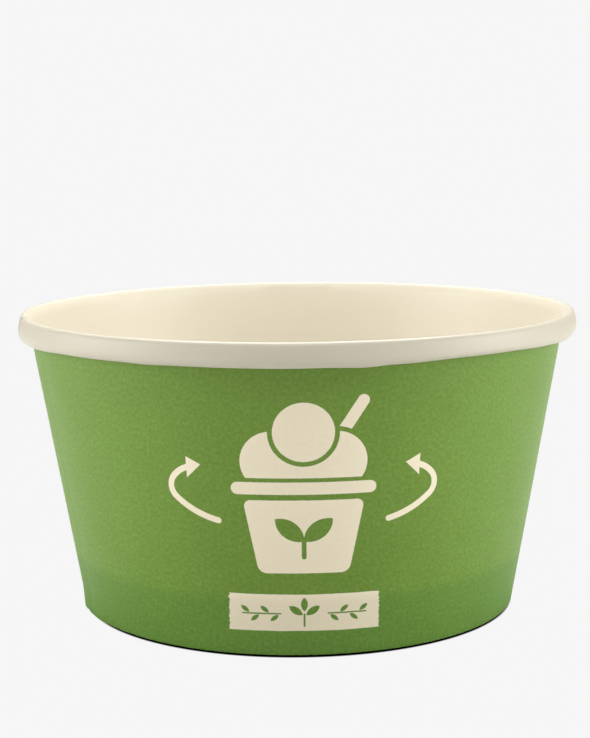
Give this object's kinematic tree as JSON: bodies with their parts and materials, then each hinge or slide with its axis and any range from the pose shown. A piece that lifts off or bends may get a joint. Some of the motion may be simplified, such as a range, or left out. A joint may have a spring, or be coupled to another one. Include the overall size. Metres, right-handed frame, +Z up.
{
  "type": "paper dessert cup",
  "caption": "Round tapered paper cup for ice cream or desserts, with a rolled rim, a lapped side seam and a recessed base.",
  "frame": {"origin": "centre of the foot circle, on the surface that the cup stands on", "axes": "+Z up along the cup's axis; -Y through the middle of the printed front, towards the viewer of the picture; the side seam is on the -X side"},
  "size_m": [0.1099, 0.11, 0.058],
  "materials": {
    "printed_board": "satin",
    "plain_board": "satin"
  },
  "bodies": {
    "root": {"side_wall": "printed_board", "base": "plain_board"}
  },
  "joints": []
}
